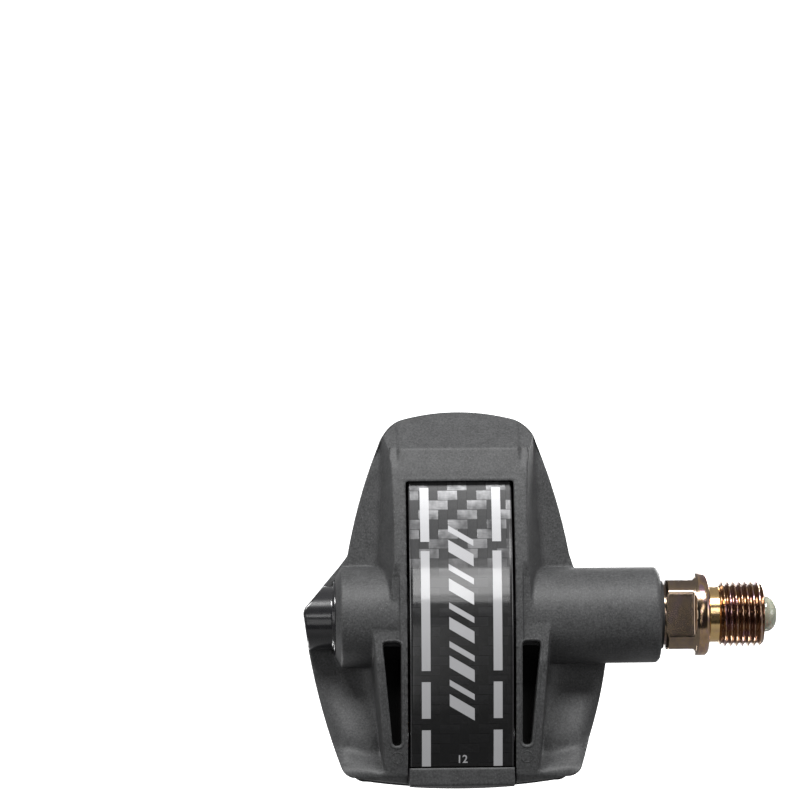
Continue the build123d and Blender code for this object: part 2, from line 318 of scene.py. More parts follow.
@material
def carbon_weave():
    """Clear-coated twill: each tow is tinted and tilted by the way it runs, and towards the nose the tows carry a
    painted sheen in patches.
    """
    s = settings()
    sh = Shader("carbon_weave", Coat_Weight=1.0, Coat_Roughness=0.14, Specular_IOR_Level=0.3)
    pos = sh.coords()
    x, y, _ = sh.axes(pos)
    column, row = (x / s.tow).floor(), (y / s.tow).floor()
    over = ((column + row) % 4.0) < 2.0
    u, v = (x / s.tow) % 1.0, (y / s.tow) % 1.0
    across_tow = over * u + (1.0 - over) * v
    crown = 1.0 - (across_tow * 2.0 - 1.0).power(2.0)
    fibres = sh.noise(sh.stretched(pos, (1.0, 0.08, 1.0)), 9000.0, 2.0)
    cross = sh.noise(sh.stretched(pos, (0.08, 1.0, 1.0)), 9000.0, 2.0)
    strands = over * fibres + (1.0 - over) * cross
    rim = (crown < 0.16) * 0.5
    # Painted sheen: from y = 8 mm towards the nose both kinds of tow are coloured lighter in patches, standing in
    # for the key light's reflection off the bowed leaf; further back they stay near black.
    front = sh.node("ShaderNodeClamp", inputs={0: (y / MM - 8.0) / 5.0})
    sheen_patches = sh.noise(sh.stretched(pos, (1.0, 0.6, 1.0)), 260.0, 3.0)
    painted_sheen = sh.node("ShaderNodeClamp", inputs={0: front * (sheen_patches * 2.4 - 0.5) + 0.10})
    warp = sh.mix(front * (0.4 + strands * 0.6), (0.003, 0.003, 0.0032), (0.032, 0.032, 0.033))
    weft = sh.mix(strands * 0.5 + painted_sheen * 0.5, (0.03, 0.03, 0.031), (0.24, 0.24, 0.245))
    weft = sh.mix(painted_sheen, (0.028, 0.028, 0.029), weft)
    colour = sh.mix(over, weft, warp)
    colour = sh.mix(rim, colour, (0.005, 0.005, 0.005))
    sh.feed(Base_Color=colour, Metallic=(1.0 - over) * 0.95, Roughness=0.30 + strands * 0.14)
    return sh.bump(crown * 0.8 + strands * 0.2, 0.35, 0.04 * MM)


@material
def leaf_edge_resin():
    sh = Shader("leaf_edge_resin", Coat_Weight=0.6, Coat_Roughness=0.1)
    pos = sh.coords()
    layers = (sh.axes(pos)[2] * (5.0 * 2 * pi / MM) + sh.noise(pos, 400.0) * 3.0).sine() * 0.5 + 0.5
    sh.feed(Base_Color=sh.mix(layers, (0.012, 0.012, 0.013), (0.035, 0.035, 0.036)), Roughness=0.3 + layers * 0.2)
    return sh.bump(layers, 0.3, 0.03 * MM)


@material
def silver_print():
    s = settings()
    sh = Shader("silver_print", Coat_Weight=0.8, Coat_Roughness=0.08)
    pos = sh.coords()
    speck = sh.noise(pos, 5200.0, 2.0)
    weave = ((sh.axes(pos)[0] + sh.axes(pos)[1]) * (2 * pi / (0.55 * MM))).sine() * 0.5 + 0.5
    dark = tuple(channel * 0.8 for channel in s.print_silver)
    sh.feed(Base_Color=sh.mix(speck * 0.7 + weave * 0.3, dark, tuple(s.print_silver)),
            Metallic=0.25 + speck * 0.1, Roughness=0.34 + speck * 0.12)
    return sh.bump(speck * 0.6 + weave * 0.4, 0.2, 0.02 * MM)


@material
def bronze_coating():
    """Thin-film coating on polished steel: bronze that drifts to rose and violet in bands, with a gold neck and
    painted shade in the thread's roots and on the wrench flats.
    """
    s = settings()
    sh = Shader("bronze_coating", Metallic=1.0)
    pos = sh.coords()
    x, y, z = sh.axes(pos)
    film = sh.noise(sh.stretched(pos, (2.2, 1.0, 1.0)), 210.0, 3.0) + sh.noise(pos, 60.0, 1.0) * 0.25
    bronze = tuple(s.bronze)
    colour = sh.ramp(film, [(0.42, (0.25, 0.15, 0.14)), (0.54, bronze), (0.66, (0.42, 0.28, 0.16)),
                            (0.78, (0.34, 0.22, 0.25))])
    neck = (x > -2.6 * MM) * (x < 0.0) * 0.7
    colour = sh.mix(neck, colour, (0.75, 0.52, 0.22))
    # The spindle from the flange outwards is coloured a darker, yellower brown; the darkening is painted shade,
    # standing in for the dim reflection on the wrench flats.
    flats = (x > FLANGE_END) * 0.72
    colour = sh.mix(flats, colour, (0.165, 0.138, 0.105))
    # Painted shade: the thread's roots are coloured dark brown, most at the root and fading out before the crests.
    reach = (y * y + z * z).power(0.5) / MM
    groove_shade = (x < -2.4 * MM) * (1.0 - (reach - 6.45) / 0.55) * 0.65
    groove_shade = sh.node("ShaderNodeClamp", inputs={0: groove_shade})
    colour = sh.mix(groove_shade, colour, (0.16, 0.074, 0.036))
    lines = (x * (11.0 * 2 * pi / MM) + sh.noise(pos, 700.0) * 6.0).sine() * 0.5 + 0.5
    scuff = sh.noise(sh.stretched(pos, (0.2, 1.0, 1.0)), 2600.0, 3.0)
    sh.feed(Base_Color=colour, Roughness=0.10 + lines * 0.04 + scuff * 0.08)
    return sh.bump(lines * 0.6 + scuff * 0.4, 0.22, 0.010 * MM)


@material
def clear_dome():
    sh = Shader("clear_dome", Transmission_Weight=0.75, IOR=1.49, Coat_Weight=0.6)
    pos = sh.coords()
    haze = sh.noise(pos, 500.0, 3.0)
    sh.feed(Base_Color=sh.mix(haze, (0.40, 0.42, 0.34), (0.62, 0.62, 0.52)), Roughness=0.06 + haze * 0.08)
    return sh.bump(haze, 0.1, 0.02 * MM)


@material
def frosted_guide():
    sh = Shader("frosted_guide", Subsurface_Weight=0.2, Coat_Weight=0.4)
    pos = sh.coords()
    cloud = sh.noise(pos, 900.0, 3.0)
    sh.feed(Base_Color=sh.mix(cloud, (0.30, 0.32, 0.25), (0.52, 0.53, 0.42)), Roughness=0.35 + cloud * 0.2)
    return sh.bump(cloud, 0.2, 0.03 * MM)


@material
def seal_rubber():
    sh = Shader("seal_rubber", Specular_IOR_Level=0.35)
    pos = sh.coords()
    grain = sh.noise(pos, 1800.0, 4.0)
    sh.feed(Base_Color=sh.mix(grain, (0.008, 0.008, 0.008), (0.024, 0.024, 0.024)), Roughness=0.55 + grain * 0.2)
    return sh.bump(grain, 0.4, 0.03 * MM)


@material
def gloss_cap():
    sh = Shader("gloss_cap", Coat_Weight=1.0, Coat_Roughness=0.17, Specular_IOR_Level=0.0)
    pos = sh.coords()
    swirl = sh.noise(pos, 700.0, 4.0)
    sh.feed(Base_Color=sh.mix(swirl, (0.006, 0.006, 0.007), (0.014, 0.014, 0.015)), Roughness=0.18 + swirl * 0.1)
    return sh.bump(swirl, 0.12, 0.02 * MM)


@material
def brushed_stainless():
    sh = Shader("brushed_stainless", Metallic=1.0)
    pos = sh.coords()
    brush = sh.noise(sh.stretched(pos, (0.03, 1.0, 1.0)), 5200.0, 4.0, 0.65)
    worn = sh.noise(pos, 120.0, 4.0)
    sh.feed(Base_Color=sh.mix(brush, (0.30, 0.30, 0.31), (0.50, 0.50, 0.51)),
            Roughness=0.40 + brush * 0.18 + worn * 0.08)
    return sh.bump(brush, 0.3, 0.02 * MM)


@material
def screw_steel():
    return turned_steel("screw_steel", (0.42, 0.42, 0.44), 0.26)


@material
def bearing_steel():
    return turned_steel("bearing_steel", (0.66, 0.67, 0.69), 0.12)


@material
def plain_steel():
    return turned_steel("plain_steel", (0.5, 0.5, 0.51), 0.24)


@material
def cage_nylon():
    sh = Shader("cage_nylon", Subsurface_Weight=0.05)
    grain = sh.noise(sh.coords(), 1500.0, 3.0)
    sh.feed(Base_Color=sh.mix(grain, (0.42, 0.30, 0.14), (0.56, 0.42, 0.22)), Roughness=0.42 + grain * 0.2)
    return sh.bump(grain, 0.3, 0.02 * MM)


@material
def board_green():
    sh = Shader("board_green", Coat_Weight=0.4)
    pos = sh.coords()
    x, y, _ = sh.axes(pos)
    traces = ((x * (2 * pi / (0.9 * MM))).sine() * (y * (2 * pi / (0.7 * MM))).sine()) > 0.55
    sh.feed(Base_Color=sh.mix(traces, (0.012, 0.10, 0.045), (0.55, 0.42, 0.16)), Metallic=traces * 0.8,
            Roughness=0.4 - traces * 0.15)
    return sh.bump(traces, 0.3, 0.02 * MM)


@material
def battery_sleeve():
    sh = Shader("battery_sleeve", Coat_Weight=0.5)
    wrinkle = sh.noise(sh.coords(), 600.0, 3.0)
    sh.feed(Base_Color=sh.mix(wrinkle, (0.03, 0.07, 0.22), (0.05, 0.10, 0.3)), Roughness=0.3 + wrinkle * 0.15)
    return sh.bump(wrinkle, 0.25, 0.03 * MM)


@material
def studio_floor():
    sh = Shader("studio_floor")
    grain = sh.noise(sh.coords(), 12.0, 3.0)
    sh.feed(Base_Color=sh.mix(grain, (0.78, 0.78, 0.78), (0.82, 0.82, 0.82)), Roughness=0.7 + grain * 0.1)
    return sh


# Mesh helpers

def add_object(name, mesh):
    obj = bpy.data.objects.new(name, mesh)
    bpy.context.scene.collection.objects.link(obj)
    return obj


def mesh_object(name, verts, faces, finish, smooth_angle=35.0):
    mesh = bpy.data.meshes.new(name)
    mesh.from_pydata([tuple(v) for v in verts], [], [tuple(f) for f in faces])
    mesh.validate()
    obj = add_object(name, mesh)
    mesh.materials.append(finish)
    shade(obj, smooth_angle)
    return obj


def shade(obj, angle):
    """Smooth faces, split at edges sharper than the angle."""
    mesh = obj.data
    mesh.polygons.foreach_set("use_smooth", [True] * len(mesh.polygons))
    mesh.set_sharp_from_angle(angle=radians(angle))


def applied(obj):
    """Bake the modifiers into the mesh and remove them."""
    evaluated = obj.evaluated_get(bpy.context.evaluated_depsgraph_get())
    mesh = bpy.data.meshes.new_from_object(evaluated)
    mesh.name = obj.name
    obj.modifiers.clear()
    obj.data = mesh
    return obj


def merged_copy(name, node):
    """A CAD node's mesh with its loose triangles joined."""
    mesh = frame["nodes"][node].data.copy()
    mesh.name = name
    mesh.materials.clear()
    bm = bmesh.new()
    bm.from_mesh(mesh)
    bmesh.ops.remove_doubles(bm, verts=bm.verts, dist=0.002 * MM)
    bm.to_mesh(mesh)
    bm.free()
    for layer in list(mesh.attributes):
        if layer.name == "custom_normal":
            mesh.attributes.remove(layer)
    return add_object(name, mesh)


def smoothstep(values, low, high):
    t = np.clip((values - low) / (high - low), 0.0, 1.0)
    return t * t * (3 - 2 * t)


def read_vectors(mesh, key):
    flat = np.empty(len(mesh.vertices) * 3, np.float32)
    mesh.vertices.foreach_get(key, flat)
    return flat.reshape(-1, 3)


def moulded(name, node, finish, voxel, passes, keep, reshape=None):
    """A CAD solid as it comes out of a mould, with every edge softened."""
    obj = merged_copy(name, node)
    remesh = obj.modifiers.new("remesh", "REMESH")
    remesh.mode = "VOXEL"
    remesh.voxel_size = voxel
    applied(obj)
    if reshape:
        reshape(obj)
    soften = obj.modifiers.new("soften", "SMOOTH")
    soften.factor = 0.5
    soften.iterations = passes
    thin = obj.modifiers.new("thin", "DECIMATE")
    thin.ratio = keep
    applied(obj)
    obj.data.materials.append(finish)
    shade(obj, 60.0)
    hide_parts(node)
    return obj


def shape_shell(obj):
    """Run the side hollows out through the nose, and melt the wings' undersides into one surface.

    Lengths inside are in millimetres: aside is the distance from the middle, ahead the distance in front
    of the slanted ridge at the wings' rear.
    """
    place = read_vectors(obj.data, "co")
    underside = smoothstep(-read_vectors(obj.data, "normal")[:, 2], 0.35, 0.7)
    aside = np.abs(place[:, 0] - CENTRE_X) / MM
    y = place[:, 1] / MM
    ridge_slope, ridge_floor, ridge_step = 0.336, -4.9, 2.4
    ahead = y + 30.5 + (26.0 - aside) * ridge_slope
    floor = ridge_floor + ridge_step * smoothstep(ahead, 0.2, 2.2)
    floor += (3.5 + (aside - 19.5) * 0.144) * smoothstep(ahead, 1.8, 19.0)
    fill = underside * smoothstep(aside, 16.9, 18.9) * (ahead > 0) * (1 - smoothstep(ahead, 14.0, 19.0))
    place[:, 2] += (np.minimum(floor * MM, place[:, 2]) - place[:, 2]) * fill
    step = smoothstep(aside, 12.9, 13.5) * smoothstep(y, 32.0, 37.0) * underside
    place[:, 2] += NOSE_WELL * step
    obj.data.vertices.foreach_set("co", place.ravel())
    melt = underside * smoothstep(aside, 17.2, 18.8) * smoothstep(-y, 9.5, 13.0)
    relax(obj, "wings", melt, 300)


def relax(obj, name, weights, passes):
    """Smooth the part of a mesh that the weights pick out."""
    group = obj.vertex_groups.new(name=name)
    for index in np.nonzero(weights > 0.02)[0]:
        group.add([int(index)], float(weights[index]), "REPLACE")
    soften = obj.modifiers.new(name, "SMOOTH")
    soften.factor = 0.5
    soften.iterations = passes
    soften.vertex_group = name
    applied(obj)
    obj.vertex_groups.clear()


def crisp(name, node, finish, bevel):
    """A machined CAD solid with a small bevel on its edges."""
    obj = merged_copy(name, node)
    bm = bmesh.new()
    bm.from_mesh(obj.data)
    bmesh.ops.dissolve_limit(bm, angle_limit=radians(1.0), verts=bm.verts, edges=bm.edges)
    bm.to_mesh(obj.data)
    bm.free()
    edge = obj.modifiers.new("edge", "BEVEL")
    edge.width = bevel
    edge.segments = 2
    edge.limit_method = "ANGLE"
    edge.angle_limit = radians(28.0)
    applied(obj)
    obj.data.materials.append(finish)
    shade(obj, 30.0)
    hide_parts(node)
    return obj


def lathe(name, rows, finish, turns, smooth_angle=35.0):
    """Skin rows of (x, r) round the spindle axis. r may be a number or one value for each angle."""
    theta = np.arange(turns) * 2 * pi / turns
    verts, faces = [], []
    for x, r in rows:
        r = np.broadcast_to(np.asarray(r, float), theta.shape)
        verts += [(x, r[i] * cos(theta[i]), r[i] * sin(theta[i])) for i in range(turns)]
    for j in range(len(rows) - 1):
        for i in range(turns):
            k = (i + 1) % turns
            faces.append((j * turns + i, j * turns + k, (j + 1) * turns + k, (j + 1) * turns + i))
    for row, way in ((0, 1), (len(rows) - 1, -1)):
        verts.append((rows[row][0], 0.0, 0.0))
        hub = len(verts) - 1
        for i in range(turns):
            k = (i + 1) % turns
            a, b = row * turns + i, row * turns + k
            faces.append((hub, b, a) if way > 0 else (hub, a, b))
    return mesh_object(name, verts, faces, finish, smooth_angle)


def rounded(points, radius):
    """A profile with each inner corner cut by a short arc."""
    out = [points[0]]
    for before, here, after in zip(points, points[1:], points[2:]):
        a, b, c = Vector(before), Vector(here), Vector(after)
        reach = min(radius, (a - b).length / 2.2, (c - b).length / 2.2)
        start, end = b + (a - b).normalized() * reach, b + (c - b).normalized() * reach
        for t in (0.0, 0.33, 0.67, 1.0):
            out.append(tuple(start * (1 - t) ** 2 + b * 2 * t * (1 - t) + end * t ** 2))
    return out + [points[-1]]


class Surface:
    """Finds heights on a mesh, straight up or down."""

    def __init__(self, mesh):
        self.tree = BVHTree.FromPolygons([v.co for v in mesh.vertices], [p.vertices[:] for p in mesh.polygons])

    def underside(self, x, y):
        """The place and normal of the underside at a plan point."""
        return self.tree.ray_cast(Vector((x, y, -0.1)), Vector((0, 0, 1)))[:2]

    def under(self, x, y):
        return self.underside(x, y)[0].z

    def over(self, x, y):
        return self.tree.ray_cast(Vector((x, y, 0.1)), Vector((0, 0, -1)))[0].z


# Leaf

def leaf_heights():
    """(under, over) heights of the leaf by y, from the CAD solid."""
    surface = Surface(frame["nodes"]["leaf_blade"].data)
    inset = 0.02 * MM
    ys = np.linspace(LEAF_LOW.y + inset, LEAF_HIGH.y - inset, 180)
    ys = np.sort(np.append(ys, (LEAF_MOUTH, LEAF_MOUTH + 0.03 * MM)))
    under = np.array([surface.under(CENTRE_X + 0.3 * MM, y) for y in ys])
    over = np.array([surface.over(CENTRE_X + 0.3 * MM, y) for y in ys])
    under += MOUTH_DIP * (ys > LEAF_MOUTH)
    return ys, under, over


def leaf_under(y, heights):
    ys, under, _ = heights
    return float(np.interp(y, ys, under))


def make_leaf(heights):
    """The leaf: a bowed strip with rounded long edges and woven faces."""
    ys, under, over = heights
    half = (LEAF_HIGH.x - LEAF_LOW.x) / 2
    r = 0.4 * MM
    verts, faces, sides = [], [], []
    arc = [(r * (1 - cos(a)), r * (1 - sin(a))) for a in np.linspace(0, pi / 2, 5)]
    ring = None
    for y, low, high in zip(ys, under, over):
        lower = [(-half + dx, low + dz) for dx, dz in arc]
        mid = [(x, low) for x in np.linspace(-half + 2 * r, half - 2 * r, 13)]
        right = [(-x, z) for x, z in reversed(lower)]
        bottom = lower + mid + right
        top = [(x, high - (z - low)) for x, z in reversed(bottom)]
        ring = bottom + top
        verts += [(CENTRE_X + x, y, z) for x, z in ring]
    n = len(ring)
    for j in range(len(ys) - 1):
        for i in range(n):
            k = (i + 1) % n
            faces.append((j * n + i, j * n + k, (j + 1) * n + k, (j + 1) * n + i))
    faces.append(tuple(range(n - 1, -1, -1)))
    faces.append(tuple((len(ys) - 1) * n + i for i in range(n)))
    leaf = mesh_object("carbon_leaf", verts, faces, carbon_weave(), 50.0)
    leaf.data.materials.append(leaf_edge_resin())
    outward(leaf)
    for polygon in leaf.data.polygons:
        if abs(polygon.normal.z) < 0.6:
            polygon.material_index = 1
    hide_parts("leaf_blade")
    return leaf


def outward(obj):
    bm = bmesh.new()
    bm.from_mesh(obj.data)
    bmesh.ops.recalc_face_normals(bm, faces=bm.faces)
    bm.to_mesh(obj.data)
    bm.free()


def ink_patch(name, pairs, heights):
    """A thin patch of ink on the leaf's underside, skinned over pairs of plan points."""
    verts, faces = [], []
    for pair in pairs:
        for x, y in pair:
            z = leaf_under(y, heights)
            verts += [(x, y, z - INK_PROUD), (x, y, z + INK_SUNK)]
    last = (len(pairs) - 1) * 4
    for a in range(0, last, 4):
        b = a + 4
        faces += [(a, b, b + 2, a + 2), (a + 1, a + 3, b + 3, b + 1),
                  (a, a + 1, b + 1, b), (a + 2, b + 2, b + 3, a + 3)]
    faces += [(0, 2, 3, 1), (last, last + 1, last + 3, last + 2)]
    patch = mesh_object(name, verts, faces, silver_print(), 40.0)
    outward(patch)
    return patch


def joined(name, objects):
    """Several pieces of one kind as one object."""
    bm = bmesh.new()
    for obj in objects:
        bm.from_mesh(obj.data)
    mesh = bpy.data.meshes.new(name)
    finish = objects[0].data.materials[0]
    bm.to_mesh(mesh)
    bm.free()
    for obj in objects:
        bpy.data.objects.remove(obj)
    whole = add_object(name, mesh)
    mesh.materials.append(finish)
    shade(whole, 40.0)
    return whole


# Ends of the printed dashes, from the leaf's tail to its mouth, in millimetres.
DASH_SPANS = ((-32.25, -24.4), (-21.9, -14.0), (-11.6, 14.2), (16.2, 27.9))


def make_stripes(heights, steps=24):
    s = settings()
    half = s.stripe_width / 2
    dashes = []
    for side in (-1, 1):
        middle = CENTRE_X + side * s.stripe_offset
        for start, end in DASH_SPANS:
            pairs = [((middle - half, y), (middle + half, y))
                     for y in (np.linspace(start, end, steps + 1) * MM)]
            dashes.append(ink_patch("dash", pairs, heights))
    return joined("printed_stripes", dashes)


def make_badge(heights):
    """A plain run of slanted bars down the middle of the leaf, thick and thin by turns."""
    first, pitch, thin_after = -22.4 * MM, 8.3 * MM, 4.4 * MM
    bars = []
    for group in range(5):
        start = first + pitch * group
        bars.append(slanted_bar(start, 2.6 * MM, heights))
        bars.append(slanted_bar(start + thin_after, 1.3 * MM, heights))
    return joined("leaf_badge", bars)


def slanted_bar(start, thick, heights, width=5.4 * MM, lean=3.2 * MM, steps=10):
    """A parallelogram of ink: level across in plan, with its ends swept along the leaf."""
    pairs = []
    for t in np.linspace(0, 1, steps + 1):
        x, y = CENTRE_X + (t - 0.5) * width, start + lean * t
        pairs.append(((x, y), (x, y + thick)))
    return ink_patch("bar", pairs, heights)


def make_number(heights):
    """The leaf's tension number, read from below with the nose up."""
    curve = bpy.data.curves.new("tension_number", "FONT")
    curve.body = "12"
    curve.size = 2.4 * MM
    curve.align_x, curve.align_y = "CENTER", "CENTER"
    curve.extrude = 0.04 * MM
    curve.offset = 0.03 * MM
    text = add_object("tension_number_text", curve)
    mesh = bpy.data.meshes.new_from_object(text.evaluated_get(bpy.context.evaluated_depsgraph_get()))
    bpy.data.objects.remove(text)
    place_y = LEAF_LOW.y + 1.5 * MM
    for vertex in mesh.vertices:
        x, y, depth = vertex.co
        y += place_y
        proud = 0.03 * MM if depth > 0 else -INK_SUNK
        vertex.co = (CENTRE_X - x, y, leaf_under(y, heights) - proud)
    number = add_object("tension_number", mesh)
    mesh.materials.clear()
    mesh.materials.append(silver_print())
    return number


# Spindle

def wrench_radius(theta, across, corner_r):
    """Radius of a four-sided section with round corners."""
    turned = (theta + pi / 4) % (pi / 2) - pi / 4
    return np.minimum(corner_r, across / 2 / np.cos(turned))


def thread_radius(x, theta, pitch, start, end, root_r):
    """Radius of a right-hand thread, run out at the neck and chamfered at its end."""
    phase = (x / pitch - theta / (2 * pi)) % 1.0
    ridge = np.clip((0.5 - np.abs(phase - 0.5)) * 2 * 1.22 - 0.10, 0.0, 1.0)
    r = root_r + (CREST_R - root_r) * ridge
    lead_in = 6.35 * MM + (x - end) * 0.9
    run_out = 6.1 * MM + max(start - x, 0.0) * 1.6
    return np.minimum(np.minimum(r, lead_in), np.maximum(run_out, 6.1 * MM))


def make_spindle():
    pitch = settings().pitch
    turns = 180
    theta = np.arange(turns) * 2 * pi / turns
    end, neck = THREAD_END, THREAD_NECK
    root_r = CREST_R - 0.6 * pitch
    rows = [(end + 4.4 * MM, 3.95 * MM), (end + 0.3 * MM, 3.95 * MM), (end, 4.25 * MM), (end, 6.25 * MM)]
    for x in np.arange(end + 0.05 * MM, neck, 0.085 * MM):
        rows.append((x, thread_radius(x, theta, pitch, neck, end, root_r)))
    profile = [(neck, 6.1), (-0.35 * MM, 6.1), (0, 6.4), (0, 8.3), (0.12 * MM, 8.55), (0.45 * MM, 8.88),
               (0.7 * MM, 9.0), (2.6 * MM, 9.0), (2.82 * MM, 8.9)]
    rows += [(x, r * MM) for x, r in profile]
    flats_start, flats_end = 2.9 * MM, 9.4 * MM
    corner = 8.95 * MM
    for x in np.concatenate([np.linspace(flats_start, flats_start + 0.8 * MM, 8),
                             np.linspace(flats_start + 1.2 * MM, flats_end - 0.6 * MM, 8),
                             np.linspace(flats_end - 0.5 * MM, flats_end, 5)]):
        into = max(0.0, 1 - (x - flats_start) / (0.8 * MM))
        fillet_lift = 1.3 * MM * (1 - sqrt(max(0.0, 1 - into ** 2)))
        tip = max(0.0, (x - (flats_end - 0.5 * MM)))
        rows.append((x, wrench_radius(theta, 15.0 * MM + 2 * fillet_lift, corner - tip)))
    tail = [(9.4, 7.2), (9.4, 6.6), (15.6, 6.6), (15.6, 6.0), (32, 6.0), (38, 5.2), (65.3, 5.2), (65.3, 4.0),
            (75.6, 4.0), (75.6, 3.5), (79.8, 3.5), (80.2, 3.1)]
    rows += [(x * MM, r * MM) for x, r in tail]
    steel = lathe("spindle_forging", rows, bronze_coating(), turns, 32.0)
    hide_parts("spindle")
    return steel


def make_end_window():
    low, high = WINDOW_LOW.x, WINDOW_HIGH.x
    r = WINDOW_HIGH.y
    depth, power = 3.1 * MM, 2.7
    rows = []
    for t in np.linspace(0.04, 1.0, 18) ** 2:
        rows.append((low + depth * t, r * (1 - (1 - t) ** power) ** (1 / power)))
    rows += [(low + 3.2 * MM, r - 0.06 * MM), (high, r - 0.06 * MM)]
    window = lathe("clear_end_dome", rows, clear_dome(), 96, 40.0)
    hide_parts("end_window")
    return window


def make_window_core():
    """Pale frosted light guide inside the clear dome."""
    low = WINDOW_LOW.x
    rows = [(low + 1.3 * MM, 0.3 * MM), (low + 1.4 * MM, 1.3 * MM), (low + 1.8 * MM, 2.0 * MM),
            (low + 2.4 * MM, 2.45 * MM), (low + 5.0 * MM, 2.5 * MM)]
    return lathe("dome_light_guide", rows, frosted_guide(), 64, 40.0)


def make_seal():
    x0, x1 = SEAL_LOW.x, SEAL_HIGH.x
    step_x = x0 + 0.8 * MM
    profile = rounded([(x1, 8.4 * MM), (step_x, 8.4 * MM), (step_x, 7.4 * MM), (x0 + 0.1 * MM, 7.4 * MM),
                       (x0, 7.0 * MM), (x0 + 0.25 * MM, 6.66 * MM), (x1, 6.64 * MM)], 0.15 * MM)
    seal = ring_lathe("tube_lip_seal", profile, seal_rubber(), 120)
    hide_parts("lip_seal")
    return seal


def ring_lathe(name, profile, finish, turns):
    """A closed ring round the spindle axis."""
    verts, faces = [], []
    n = len(profile)
    for i in range(turns):
        a = 2 * pi * i / turns
        verts += [(x, r * cos(a), r * sin(a)) for x, r in profile]
    for i in range(turns):
        k = (i + 1) % turns
        for j in range(n):
            m = (j + 1) % n
            faces.append((i * n + j, i * n + m, k * n + m, k * n + j))
    obj = mesh_object(name, verts, faces, finish, 40.0)
    outward(obj)
    return obj


# Shell details made with Geometry Nodes

class GeoTree:
    """A small Geometry Nodes tree with named inputs."""

    def __init__(self, name, **inputs):
        self.tree = bpy.data.node_groups.new(name, "GeometryNodeTree")
        face = self.tree.interface
        face.new_socket("Geometry", in_out="INPUT", socket_type="NodeSocketGeometry")
        self.ids = {}
        for key, value in inputs.items():
            kind = "NodeSocketMaterial" if isinstance(value, bpy.types.Material) else "NodeSocketFloat"
            socket = face.new_socket(key, in_out="INPUT", socket_type=kind)
            self.ids[key] = (socket.identifier, value)
        face.new_socket("Geometry", in_out="OUTPUT", socket_type="NodeSocketGeometry")
        self.start = self.tree.nodes.new("NodeGroupInput")
        self.end = self.tree.nodes.new("NodeGroupOutput")

    def node(self, kind, values=None, inputs=None):
        node = self.tree.nodes.new(kind)
        for key, value in (values or {}).items():
            setattr(node, key, value)
        for key, value in (inputs or {}).items():
            if isinstance(value, bpy.types.NodeSocket):
                self.tree.links.new(value, node.inputs[key])
            else:
                node.inputs[key].default_value = value
        return node

    def finish(self, geometry, finish):
        realized = self.node("GeometryNodeRealizeInstances", inputs={0: geometry})
        painted = self.node("GeometryNodeSetMaterial", inputs={"Geometry": realized.outputs[0], "Material": finish})
        self.tree.links.new(painted.outputs[0], self.end.inputs[0])

    def run(self, obj):
        """Put the tree on an object, set its inputs and bake it."""
        modifier = obj.modifiers.new(self.tree.name, "NODES")
        modifier.node_group = self.tree
        for identifier, value in self.ids.values():
            modifier[identifier] = value
        return applied(obj)


def point_cloud(name, points):
    mesh = bpy.data.meshes.new(name)
    mesh.from_pydata([tuple(p) for p in points], [], [])
    return add_object(name, mesh)


def make_ejector_marks(shell):
    """Faint round witness marks that the mould's pins leave on the rails."""
    surface = Surface(shell.data)
    places = [(side * 14.0, -30.3) for side in (-1, 1)]
    points, facing = [], []
    for x, y in places:
        spot, normal = surface.underside(CENTRE_X + x * MM, y * MM)
        points.append(spot)
        facing += list(normal)
    obj = point_cloud("ejector_marks", points)
    obj.data.attributes.new("facing", "FLOAT_VECTOR", "POINT").data.foreach_set("vector", facing)
    geo = GeoTree("ejector_mark_rings", Radius=1.25 * MM, Ridge=0.07 * MM, Finish=moulded_composite())
    tilt = geo.node("GeometryNodeInputNamedAttribute", {"data_type": "FLOAT_VECTOR"}, {"Name": "facing"})
    turn = geo.node("FunctionNodeAlignRotationToVector", {"axis": "Z"}, {"Vector": tilt.outputs["Attribute"]})
    circle = geo.node("GeometryNodeCurvePrimitiveCircle",
                      inputs={"Resolution": 48, "Radius": geo.start.outputs["Radius"]})
    ridge = geo.node("GeometryNodeCurvePrimitiveCircle",
                     inputs={"Resolution": 8, "Radius": geo.start.outputs["Ridge"]})
    tube = geo.node("GeometryNodeCurveToMesh", inputs={0: circle.outputs[0], 1: ridge.outputs[0]})
    spread = geo.node("GeometryNodeInstanceOnPoints", inputs={
        "Points": geo.start.outputs["Geometry"], "Instance": tube.outputs[0], "Rotation": turn.outputs[0]})
    geo.finish(spread.outputs[0], geo.start.outputs["Finish"])
    return geo.run(obj)


